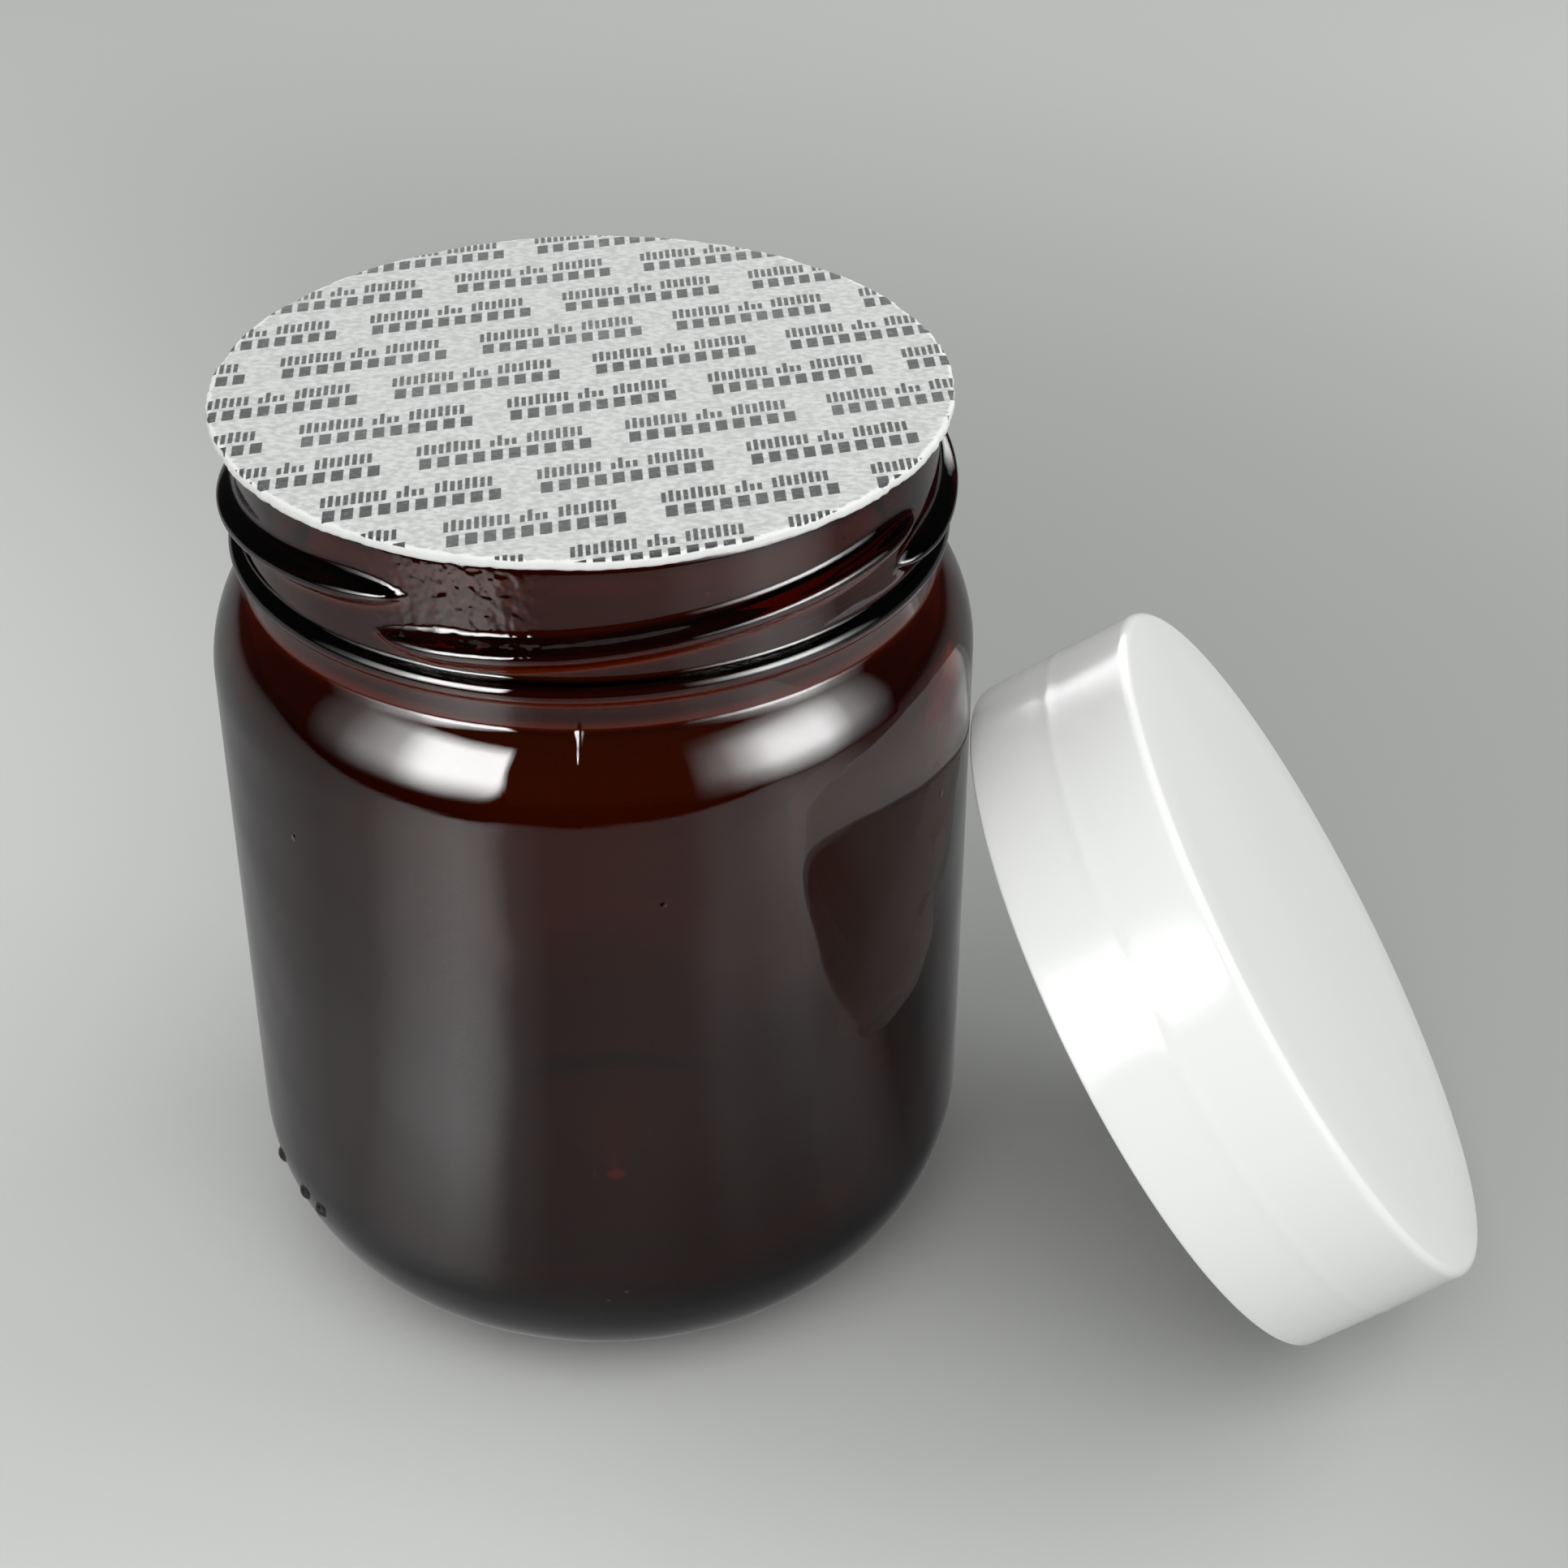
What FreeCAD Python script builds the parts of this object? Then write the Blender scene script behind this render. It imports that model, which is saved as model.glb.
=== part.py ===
"""Amber glass jar with a four-start screw finish, its stuck-on foam seal and its white screw cap.

Millimetres, +Z up. The origin is on the jar's axis, in the plane of the foot ring that the jar stands on.
The cap is off: it leans on the jar's wall, with its open side towards the jar.
"""

import FreeCAD, Part
import math
import os

V = FreeCAD.Vector
UP = V(0, 0, 1)

# ---- jar: overall sizes ----
BODY_R = 35.2          # outside radius of the straight wall
MOUTH_Z = 91.6         # height of the glass rim
WALL = 2.7             # glass thickness of the straight wall

# ---- jar: foot and heel ----
HEEL_R = 18.0          # radius of the big curve from the wall down to the foot
HEEL_Z = 17.5          # height at which that curve runs into the straight wall
FOOT_R = 4.0           # small radius that ends the heel at the foot ring
FOOT_LAND = 1.6        # width of the flat ring that the jar stands on
PUSH_UP = 2.6          # height of the hollow under the base
FLOOR = 3.8            # glass thickness in the middle of the base
FLOOR_SAG = 0.9        # how much lower the floor is at its edge than in its middle
INNER_HEEL_R = 12.5    # inside curve between floor and wall

# ---- jar: shoulder and neck ----
SHOULDER_R = 13.5      # radius of the shoulder
CREASE_FROM_RIM = 15.915  # rim down to the corner between shoulder and neck
NECK_R = 31.5          # outside radius of the neck, below and above the bead
NECK_WALL = 2.9        # glass thickness of the neck
THROAT_R = 3.0         # inside curve between shoulder and neck
BEAD_FROM_RIM = 12.2   # rim down to the bead under the thread
BEAD_PROUD = 1.1       # how far the bead stands out of the neck
BEAD_FILLET = 0.5
LIP_OUT = 1.2          # outer rounding of the rim
LIP_IN = 0.8           # inner rounding of the rim

# ---- jar: thread, four separate ridges ----
STARTS = 4
THREAD_LEAD = 18.7     # rise in one full turn
THREAD_FROM_RIM = 9.0  # rim down to the middle of a ridge at its low end
THREAD_PROUD = 1.7
THREAD_HALF = 1.75     # half of a ridge's width at the neck
THREAD_SPAN = 94.0     # degrees that one ridge covers
THREAD_START = -124.0  # degrees from +X to the low end of the first ridge
THREAD_LEVEL = 16.0    # degrees over which a ridge runs level before it climbs
RUN_OUT = 13.0         # degrees over which a ridge's end dies into the neck

# ---- jar: marks of the mould ----
SEAM_AT = -93.0        # degrees from +X, and again half a turn on
SEAM_PROUD = 0.15
SEAM_WIDTH = 0.5
DOT_Z = 14.3           # row of raised dots on the heel
DOT_FIRST = 198.6      # degrees from +X to the first place in the row
DOT_PITCH = 5.2        # degrees between places
DOT_PLACES = (0, 2, 3)  # the places that have a dot
DOT_R = 0.9
DOT_PROUD = 0.45

# ---- foam seal on the rim ----
SEAL_OVERHANG = 1.5    # how far its edge stands out past the neck
SEAL_T = 0.8
SEAL_SHIFT = -0.3      # it sits this far off centre, along X

# ---- cap ----
CAP_H = 16.7
CAP_WALL = 1.75        # skirt, outside the thread's clearance
CAP_TOP = 1.5          # thickness of the closed top
CAP_BREAK = 8.3        # height of the faint line round the skirt, where its draft changes
CAP_DRAFT = 0.3        # degrees, below that line
CAP_TOP_DRAFT = 1.0    # degrees, above it
CAP_EDGE = 0.9         # rounding round the top
CAP_RIM_EDGE = 0.3     # rounding of the open rim
CAP_CORNER = 0.4       # inside curve between skirt and top
CAP_LEAD_IN = 0.6      # chamfer inside the open rim
THREAD_GAP = 0.35      # radial clearance between the glass thread and the cap's skirt
LUG_PROUD = 1.1        # how far the cap's own ridges stand in from its skirt
LUG_HALF = 0.95        # half of such a ridge's width
LUG_SPAN = 58.0        # degrees that one covers
LUG_GAP = 0.15         # clearance between the glass ridge and the cap's ridge under it

# ---- how the cap leans ----
CAP_TILT = 33.5        # degrees from the floor to the cap's axis
CAP_YAW = -6.05        # degrees from +X to the cap's axis, seen from above
CAP_SIDE = -6.98       # the cap's middle lies this far to the right of a line through the jar's axis
LEAN_GAP = 0.1         # between the cap's rim and the glass


# ---- outlines: arcs in the plane of radius and height, joined by straight lines ----

def arc(r, z, radius, start, end):
    """An arc about (r, z), from one angle to another, in degrees up from outwards."""
    return r, z, radius, start, end


def dot(r, z):
    """A corner."""
    return r, z, 0.0, 0.0, 0.0


def on_arc(piece, angle):
    r, z, radius = piece[:3]
    a = math.radians(angle)
    return V(r + radius * math.cos(a), 0, z + radius * math.sin(a))


def closed_face(pieces):
    """A face bounded by arcs and corners in order, with straight lines between them."""
    edges = []
    ends = []
    for piece in pieces:
        radius, start, end = piece[2:]
        a, b = on_arc(piece, start), on_arc(piece, end)
        ends.append((a, b))
        if radius:
            edges.append(Part.Arc(a, on_arc(piece, (start + end) / 2), b).toShape())
    for (_, b), (a, _) in zip(ends, ends[1:] + ends[:1]):
        if b.distanceToPoint(a) > 1e-6:
            edges.append(Part.LineSegment(b, a).toShape())
    return Part.Face(Part.Wire(Part.__sortEdges__(edges)))


def turned(pieces, degrees=360.0):
    return closed_face(pieces).revolve(V(0, 0, 0), UP, degrees)


# ---- jar ----

def neck_corner_angle():
    """Where the shoulder's curve meets the neck, in degrees up from outwards."""
    return math.degrees(math.acos((NECK_R - (BODY_R - SHOULDER_R)) / SHOULDER_R))


def shoulder_z():
    """Height at which the straight wall runs into the shoulder."""
    return MOUTH_Z - CREASE_FROM_RIM - SHOULDER_R * math.sin(math.radians(neck_corner_angle()))


def foot_angle():
    """Where the heel's curve hands over to the foot's, in degrees down from outwards."""
    return math.degrees(math.asin((HEEL_Z - FOOT_R) / (HEEL_R - FOOT_R)))


def foot_ring_r():
    """Outer radius of the flat foot ring."""
    return BODY_R - HEEL_R + (HEEL_R - FOOT_R) * math.cos(math.radians(foot_angle()))


def bead():
    """Half-round bead with a fillet above and below it."""
    reach = BEAD_PROUD + BEAD_FILLET
    rise = math.sqrt(reach**2 - BEAD_FILLET**2)
    lift = math.degrees(math.atan2(rise, BEAD_FILLET))
    centre = NECK_R + BEAD_FILLET
    z = MOUTH_Z - BEAD_FROM_RIM
    return [
        arc(centre, z - rise, BEAD_FILLET, 180, 180 - lift),
        arc(NECK_R, z, BEAD_PROUD, -lift, lift),
        arc(centre, z + rise, BEAD_FILLET, 180 + lift, 180),
    ]


def heel_and_shoulder(proud=0.0):
    """The body's two big curves, which the straight wall joins; proud moves them out of the glass."""
    return [
        arc(BODY_R - HEEL_R, HEEL_Z, HEEL_R + proud, -foot_angle(), 0),
        arc(BODY_R - SHOULDER_R, shoulder_z(), SHOULDER_R + proud, 0, neck_corner_angle()),
    ]


def outer_wall():
    """From the foot ring up to the rim."""
    foot = arc(foot_ring_r(), FOOT_R, FOOT_R, -90, -foot_angle())
    lip = arc(NECK_R - LIP_OUT, MOUTH_Z - LIP_OUT, LIP_OUT, 0, 90)
    return [foot] + heel_and_shoulder() + bead() + [lip]


def inner_wall():
    """From the rim down to the middle of the floor."""
    bore = NECK_R - NECK_WALL
    shoulder_at, inner_shoulder = BODY_R - SHOULDER_R, SHOULDER_R - WALL
    throat_at = bore + THROAT_R
    lift = math.degrees(math.acos((throat_at - shoulder_at) / (inner_shoulder + THROAT_R)))
    throat_z = shoulder_z() + (inner_shoulder + THROAT_R) * math.sin(math.radians(lift))
    floor_z = PUSH_UP + FLOOR
    edge_z = floor_z - FLOOR_SAG
    heel_at = BODY_R - WALL - INNER_HEEL_R
    floor_r = (heel_at**2 + FLOOR_SAG**2) / (2 * FLOOR_SAG)
    sweep = math.degrees(math.asin(heel_at / floor_r))
    return [
        arc(bore + LIP_IN, MOUTH_Z - LIP_IN, LIP_IN, 90, 180),
        arc(throat_at, throat_z, THROAT_R, 180, 180 + lift),
        arc(shoulder_at, shoulder_z(), inner_shoulder, lift, 0),
        arc(heel_at, edge_z + INNER_HEEL_R, INNER_HEEL_R, 0, -90),
        arc(0, floor_z - floor_r, floor_r, 90 - sweep, 90),
    ]


def glass_shell():
    ring = foot_ring_r() - FOOT_LAND
    dome = (ring**2 + PUSH_UP**2) / (2 * PUSH_UP)
    sweep = math.degrees(math.asin(ring / dome))
    push_up = [arc(0, PUSH_UP - dome, dome, 90, 90 - sweep)]
    return turned(push_up + outer_wall() + inner_wall())


# ---- ridges: used for the glass thread and for the cap's own ridges ----

def ridge_outline(proud, half):
    """Cross-section of a ridge as (out, up) from the middle of its root; both its ends are in the wall."""
    bury = 0.35 * abs(proud)
    return [
        (-bury, 1.16 * half), (0.10 * proud, 0.90 * half), (0.68 * proud, 0.56 * half),
        (proud, 0.16 * half), (0.94 * proud, -0.16 * half), (0.60 * proud, -0.46 * half),
        (0.10 * proud, -0.92 * half), (-bury, -1.16 * half),
    ]


def run_out(turn, span):
    """1 along a ridge, falling to nearly nothing at each end in a quarter of an ellipse."""
    near_end = min(turn, span - turn) / RUN_OUT
    if near_end >= 1:
        return 1.0
    return math.sqrt(max(1 - (1 - near_end)**2, 0.004))


def climb(turn):
    """Rise of a ridge: level at first, then at the lead, with an even bend between."""
    rate = THREAD_LEAD / 360
    if turn < 2 * THREAD_LEVEL:
        return rate * turn**2 / (4 * THREAD_LEVEL)
    return rate * (turn - THREAD_LEVEL)


def ridge(radius, proud, half, start, span, height_at, inwards=1):
    """One ridge lofted along its path. inwards is -1 where it stands on the inside of a wall."""
    steps = [0, 0.05, 0.2, 0.5, 1.0]
    turns = [RUN_OUT * s for s in steps]
    middle = span - 2 * RUN_OUT
    count = max(2, round(middle / 17))
    turns += [RUN_OUT + middle * i / count for i in range(1, count)]
    turns += [span - RUN_OUT * s for s in reversed(steps)]
    wires = []
    for turn in turns:
        size = run_out(turn, span)
        angle = math.radians(start + turn)
        out = V(math.cos(angle), math.sin(angle), 0)
        foot = out * radius + UP * height_at(turn)
        points = [foot + out * (inwards * o * size if o > 0 else inwards * o) + UP * (u * size)
                  for o, u in ridge_outline(proud, half)]
        curve = Part.BSplineCurve()
        curve.interpolate(points)
        wires.append(Part.Wire([curve.toShape(), Part.LineSegment(points[-1], points[0]).toShape()]))
    return Part.makeLoft(wires, True, False)


def thread_height(turn):
    return MOUTH_Z - THREAD_FROM_RIM + climb(turn)


def glass_thread():
    size = NECK_R, THREAD_PROUD, THREAD_HALF
    return [ridge(*size, THREAD_START + 360 / STARTS * i, THREAD_SPAN, thread_height) for i in range(STARTS)]


# ---- marks of the mould ----

def seam(at):
    """A hair-thin ridge up the wall, left where the halves of the mould meet."""
    angle = math.degrees(SEAM_WIDTH / BODY_R)
    inside = [arc(r, z, radius, end, start)
              for r, z, radius, start, end in reversed(heel_and_shoulder(-WALL / 2))]
    strip = turned(heel_and_shoulder(SEAM_PROUD) + inside, angle)
    strip.rotate(V(0, 0, 0), UP, at - angle / 2)
    return strip


def code_dots():
    """Raised dots on the heel, each a low cap of a ball."""
    ball = (DOT_R**2 + DOT_PROUD**2) / (2 * DOT_PROUD)
    down = math.asin((HEEL_Z - DOT_Z) / HEEL_R)
    depth = HEEL_R - ball + DOT_PROUD
    r = BODY_R - HEEL_R + depth * math.cos(down)
    z = HEEL_Z - depth * math.sin(down)
    dots = []
    for place in DOT_PLACES:
        angle = math.radians(DOT_FIRST + DOT_PITCH * place)
        dots.append(Part.makeSphere(ball, V(r * math.cos(angle), r * math.sin(angle), z)))
    return dots


def make_jar():
    marks = [seam(SEAM_AT), seam(SEAM_AT + 180)] + code_dots()
    return glass_shell().fuse(glass_thread() + marks).removeSplitter()


# ---- seal ----

def make_seal():
    return Part.makeCylinder(NECK_R + SEAL_OVERHANG, SEAL_T, V(SEAL_SHIFT, 0, MOUTH_Z))


# ---- cap, upright with its open rim at height 0 ----

def cap_bore_r():
    return NECK_R + THREAD_PROUD + THREAD_GAP


def cap_r(z):
    """Outside radius of the skirt at a height above the open rim."""
    low = min(z, CAP_BREAK) * math.tan(math.radians(CAP_DRAFT))
    high = max(z - CAP_BREAK, 0) * math.tan(math.radians(CAP_TOP_DRAFT))
    return cap_bore_r() + CAP_WALL - low - high


def cap_seat_z():
    """Height of the cap's rim above the foot when the cap is screwed home on the seal."""
    return MOUTH_Z + SEAL_T + CAP_TOP - CAP_H


def lug_height(turn):
    """The cap's ridges follow the glass ones, just under their upper ends."""
    lead_in = THREAD_SPAN - LUG_SPAN
    under = THREAD_HALF * 0.62 + LUG_HALF * 0.62 + LUG_GAP
    return thread_height(lead_in + turn) - under - cap_seat_z()


def cap_shell():
    bore, rim = cap_bore_r(), cap_r(0)
    top = CAP_H - CAP_TOP
    return turned([
        arc(rim - CAP_RIM_EDGE, CAP_RIM_EDGE, CAP_RIM_EDGE, -90, 0),
        dot(cap_r(CAP_BREAK), CAP_BREAK),
        arc(cap_r(CAP_H) - CAP_EDGE, CAP_H - CAP_EDGE, CAP_EDGE, 0, 90),
        dot(0, CAP_H),
        dot(0, top),
        arc(bore - CAP_CORNER, top - CAP_CORNER, CAP_CORNER, 90, 0),
        dot(bore, CAP_LEAD_IN),
        dot(bore + CAP_LEAD_IN / 2, 0),
    ])


def upright_cap():
    first = THREAD_START + THREAD_SPAN - LUG_SPAN
    size = cap_bore_r(), LUG_PROUD, LUG_HALF
    lugs = [ridge(*size, first + 360 / STARTS * i, LUG_SPAN, lug_height, inwards=-1) for i in range(STARTS)]
    return cap_shell().fuse(lugs).removeSplitter()


# ---- the lean ----

def glass_clearance(r, z):
    """Distance from a point to the jar's wall, heel or shoulder."""
    if z > shoulder_z():
        return math.hypot(r - (BODY_R - SHOULDER_R), z - shoulder_z()) - SHOULDER_R
    if z < HEEL_Z:
        return math.hypot(r - (BODY_R - HEEL_R), z - HEEL_Z) - HEEL_R
    return r - BODY_R


def rim_gap(rim_middle, across, up_slope):
    """Smallest distance from the cap's rounded rim to the glass."""
    ring = cap_r(0) - CAP_RIM_EDGE
    gaps = []
    for degrees in range(360):
        a = math.radians(degrees)
        p = rim_middle + across * (ring * math.cos(a)) + up_slope * (ring * math.sin(a))
        gaps.append(glass_clearance(math.hypot(p.x, p.y), p.z))
    return min(gaps) - CAP_RIM_EDGE


def lean(cap):
    """Stands the cap on its rim on the floor and slides it up to the glass."""
    tilt, yaw = math.radians(CAP_TILT), math.radians(CAP_YAW)
    ahead = V(math.cos(yaw), math.sin(yaw), 0)
    axis = ahead * math.cos(tilt) + UP * math.sin(tilt)
    across = V(math.sin(yaw), -math.cos(yaw), 0)
    up_slope = UP * math.cos(tilt) - ahead * math.sin(tilt)
    ring_z = CAP_RIM_EDGE + (cap_r(0) - CAP_RIM_EDGE) * math.cos(tilt)
    near, far = BODY_R, BODY_R + 3 * cap_r(0)
    for _ in range(40):
        middle = (near + far) / 2
        rim_middle = ahead * middle - across * CAP_SIDE + UP * ring_z
        if rim_gap(rim_middle, across, up_slope) < LEAN_GAP:
            near = middle
        else:
            far = middle
    placed = cap.copy()
    placed.rotate(V(0, 0, 0), V(0, 1, 0), 90 - CAP_TILT)
    placed.rotate(V(0, 0, 0), UP, CAP_YAW)
    placed.translate(rim_middle - axis * CAP_RIM_EDGE)
    return placed


def main():
    nodes = {"jar": make_jar(), "seal_liner": make_seal(), "lid": lean(upright_cap())}
    os.makedirs("parts", exist_ok=True)
    for name, shape in nodes.items():
        solids = shape.Solids
        print(name, "solids", len(solids), "valid", shape.isValid(), "cm3", round(shape.Volume / 1000, 2),
              "box", [round(v, 2) for v in (shape.BoundBox.XMin, shape.BoundBox.XMax, shape.BoundBox.YMin,
                                            shape.BoundBox.YMax, shape.BoundBox.ZMin, shape.BoundBox.ZMax)])
        solids[0].exportStep(f"parts/{name}.step")


main()
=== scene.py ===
"""Amber glass jar with its foam seal and white screw cap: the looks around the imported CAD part."""

import math

import bpy
import numpy as np
from mathutils import Matrix, Vector


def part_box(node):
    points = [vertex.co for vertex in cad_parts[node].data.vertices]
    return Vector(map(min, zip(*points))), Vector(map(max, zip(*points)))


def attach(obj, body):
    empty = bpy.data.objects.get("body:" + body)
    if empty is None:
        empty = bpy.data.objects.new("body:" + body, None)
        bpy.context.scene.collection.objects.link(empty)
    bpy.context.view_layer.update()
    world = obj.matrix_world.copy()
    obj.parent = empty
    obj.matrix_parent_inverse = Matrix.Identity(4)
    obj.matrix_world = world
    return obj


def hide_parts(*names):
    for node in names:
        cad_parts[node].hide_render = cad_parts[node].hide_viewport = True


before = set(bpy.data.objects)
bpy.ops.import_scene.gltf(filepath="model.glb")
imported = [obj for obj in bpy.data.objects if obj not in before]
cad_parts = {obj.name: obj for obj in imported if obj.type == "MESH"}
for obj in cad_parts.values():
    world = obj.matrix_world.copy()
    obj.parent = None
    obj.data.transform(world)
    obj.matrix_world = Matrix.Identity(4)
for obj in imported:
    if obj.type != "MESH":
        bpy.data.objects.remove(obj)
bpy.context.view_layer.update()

MM = 0.001
SAME_POINT = 1e-4

# Sizes of the jar, seal and cap are in millimetres and degrees, and become metres when a mesh is made.

# ---- jar ----
MOUTH_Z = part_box("jar")[1].z / MM
BODY_R = 35.2
WALL = 2.7
HEEL_R, HEEL_Z, FOOT_R, FOOT_LAND = 18.0, 17.5, 4.0, 1.6
PUSH_UP, FLOOR, FLOOR_SAG, INNER_HEEL_R = 2.6, 3.8, 0.9, 12.5
SHOULDER_R, SHOULDER_Z = 13.5, 66.4
NECK_R, NECK_WALL, THROAT_R = 31.5, 2.9, 3.0
BEAD_Z, BEAD_PROUD, BEAD_FILLET = 79.4, 1.1, 0.5
LIP_OUT, LIP_IN = 1.2, 0.8
CREASE_Z = SHOULDER_Z + math.sqrt(SHOULDER_R**2 - (NECK_R - BODY_R + SHOULDER_R)**2)
# the crease is softened by two points, each so far out from the neck and up from the corner
CREASE_STEPS = ((0.02, 0.06), (0.0, 0.25))
# further out than this, a point of an outline belongs to the side wall and not to the bottom
SIDE_R = 25.0

STARTS, THREAD_LEAD, THREAD_FROM_RIM = 4, 18.7, 9.0
THREAD_PROUD, THREAD_HALF, THREAD_SPAN = 1.7, 1.75, 94.0
THREAD_START, THREAD_LEVEL, RUN_OUT = -124.0, 16.0, 13.0
THREAD_TOP_Z, CLEAR_OF_BEAD, CLEAR_OF_RIM = 88.9, 1.2, 1.0
# section of a ridge, in shares of its half height: how high the crest is, and how wide it is above and below
CREST_UP, WIDE_ABOVE, WIDE_BELOW, BLUNTNESS = 0.08, 0.52, 0.60, 2.6

SEAM_AT, SEAM_PROUD, SEAM_LOW_PROUD, SEAM_WIDTH = -93.0, 0.08, 0.018, 0.5
SEAM_FROM_Z, SEAM_RISE_Z, SEAM_RISE = 8.0, 71.5, 3.0
WEB_PROUD, WEB_HIGH, WEB_WIDE = 0.16, 0.45, 0.35
SEAMS = (SEAM_AT, SEAM_AT + 180)

DOT_Z, DOT_FIRST, DOT_PITCH, DOT_PLACES = 14.3, 198.6, 5.2, (0, 2, 3)
DOT_R, DOT_PROUD = 0.9, 0.43
DOTS = [DOT_FIRST + DOT_PITCH * place for place in DOT_PLACES]
# the dots lie between these angles of the heel's arc
DOTS_FROM, DOTS_TO = -14.5, -6.0

# waves of the inside, below an even throat: how deep, how many round and their turn, then length and start of
# the wave up the wall
INNER_WAVES = ((0.10, 3, 40, 9.0, 0.0), (0.06, 7, 10, 4.5, 1.0))
EVEN_THROAT = 12.0

# columns round the jar, and closer ones near a seam or a dot: how far to each side, and the step
JAR_COLUMNS, NEAR_SEAM, NEAR_DOT = 280, (1.6, 0.12), (1.8, 0.2)

# ---- seal ----
SEAL_LOW, SEAL_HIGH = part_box("seal_liner")
SEAL_R = (SEAL_HIGH.x - SEAL_LOW.x) / 2 / MM
SEAL_AT = (SEAL_HIGH.x + SEAL_LOW.x) / 2 / MM
SEAL_Z0, SEAL_Z1 = SEAL_LOW.z / MM, SEAL_HIGH.z / MM
SEAL_COLUMNS = 720
# the cut edge: its waves, the depth of the deepest, where the outward ones are cut off, and how far in it all is
CUT_WAVES, CUT_DEPTH, CUT_OFF, CUT_IN, CUT_FADE = range(9, 200, 3), 0.22, 0.4, 0.09, 24
NICK_WAVES, NICK_SINK = range(60, 330, 9), 0.5
CUT_SEED, FULL_TURN = 4, 6.28
# outline, from the underside to the top: share of the radius and of the thickness, inset, and size of the nicks
SEAL_OUTLINE = ((0, 0, 0, 0), (0.5, 0, 0, 0), (0.93, 0, 0, 0), (1, 0, -0.05, 0), (1, 0.25, 0, 0.10),
                (1, 0.5, 0, -0.06), (1, 0.72, 0, 0.12), (1, 0.90, -0.05, 0.10), (1, 0.97, -0.16, 0.10),
                (1, 1, -0.40, 0.05), (1, 1, -0.75, 0), (0.9, 1, 0, 0), (0.5, 1, 0, 0), (0, 1, 0, 0))

# ---- cap ----
CAP_H, CAP_WALL, CAP_TOP = 16.7, 1.75, 1.5
CAP_BREAK, BREAK_PROUD, BREAK_HALF = 8.3, 0.04, 0.3
CAP_DRAFT, CAP_TOP_DRAFT = 0.3, 1.0
CAP_EDGE, CAP_RIM_EDGE, CAP_CORNER, CAP_LEAD_IN = 0.9, 0.3, 0.4, 0.6
THREAD_GAP = 0.35
CAP_BORE_R = NECK_R + THREAD_PROUD + THREAD_GAP
LUG_PROUD, LUG_HALF, LUG_SPAN, LUG_GAP = 1.1, 0.95, 58.0, 0.15
LUG_CLEAR_OF_RIM, LUG_CLEAR_OF_TOP = 2.0, 0.5
# share of its half height at which one ridge bears on another
BEARING = 0.62
CAP_TILT, CAP_YAW = 33.5, -6.05
CAP_COLUMNS = 320


# ---- outlines ----

def arc(r, z, radius, start, end, count):
    """Points along an arc about (r, z), from one angle to another, in degrees up from outwards."""
    angles = np.radians(np.linspace(start, end, count))
    return np.column_stack([r + radius * np.cos(angles), z + radius * np.sin(angles)])


def line(a, b, count):
    """Points between a and b, without the ends."""
    share = np.linspace(0, 1, count + 2)[1:-1, None]
    return np.array(a) * (1 - share) + np.array(b) * share


def joined(pieces):
    """Stretches of an outline one after another. A number between two of them is how many points join them."""
    rows = [pieces[0]]
    for before, piece in zip(pieces, pieces[1:]):
        if isinstance(piece, int):
            continue
        if isinstance(before, int):
            rows.append(line(rows[-1][-1], piece[0], before))
        rows.append(piece)
    out = np.vstack(rows)
    keep = np.concatenate([[True], np.linalg.norm(np.diff(out, axis=0), axis=1) > SAME_POINT])
    return out[keep]


def jar_outer():
    """Outline of the outside, from the middle of the bottom to the top of the rim."""
    shoulder_at = BODY_R - SHOULDER_R
    corner = math.degrees(math.acos((NECK_R - shoulder_at) / SHOULDER_R))
    corner_z = SHOULDER_Z + SHOULDER_R * math.sin(math.radians(corner))
    heel_at = BODY_R - HEEL_R
    foot = math.degrees(math.asin((HEEL_Z - FOOT_R) / (HEEL_R - FOOT_R)))
    ring = heel_at + (HEEL_R - FOOT_R) * math.cos(math.radians(foot))
    dome_at = ring - FOOT_LAND
    dome = (dome_at**2 + PUSH_UP**2) / (2 * PUSH_UP)
    sweep = math.degrees(math.asin(dome_at / dome))
    reach = BEAD_PROUD + BEAD_FILLET
    rise = math.sqrt(reach**2 - BEAD_FILLET**2)
    lift = math.degrees(math.atan2(rise, BEAD_FILLET))
    fillet_at = NECK_R + BEAD_FILLET
    return joined([
        arc(0, PUSH_UP - dome, dome, 90, 90 - sweep, 10),
        arc(ring, FOOT_R, FOOT_R, -90, -foot, 6),
        arc(heel_at, HEEL_Z, HEEL_R, -foot, DOTS_FROM, 14),
        arc(heel_at, HEEL_Z, HEEL_R, DOTS_FROM, DOTS_TO, 22),
        arc(heel_at, HEEL_Z, HEEL_R, DOTS_TO, 0, 4), 8,
        arc(shoulder_at, SHOULDER_Z, SHOULDER_R, 0, corner - 1.0, 18),
        np.array([[NECK_R + out, corner_z + up] for out, up in CREASE_STEPS]), 1,
        arc(fillet_at, BEAD_Z - rise, BEAD_FILLET, 180, 180 - lift, 4),
        arc(NECK_R, BEAD_Z, BEAD_PROUD, -lift, lift, 14),
        arc(fillet_at, BEAD_Z + rise, BEAD_FILLET, 180 + lift, 180, 4), 56,
        np.array([[NECK_R, THREAD_TOP_Z]]), 1,
        arc(NECK_R - LIP_OUT, MOUTH_Z - LIP_OUT, LIP_OUT, 0, 90, 8),
    ])


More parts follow.
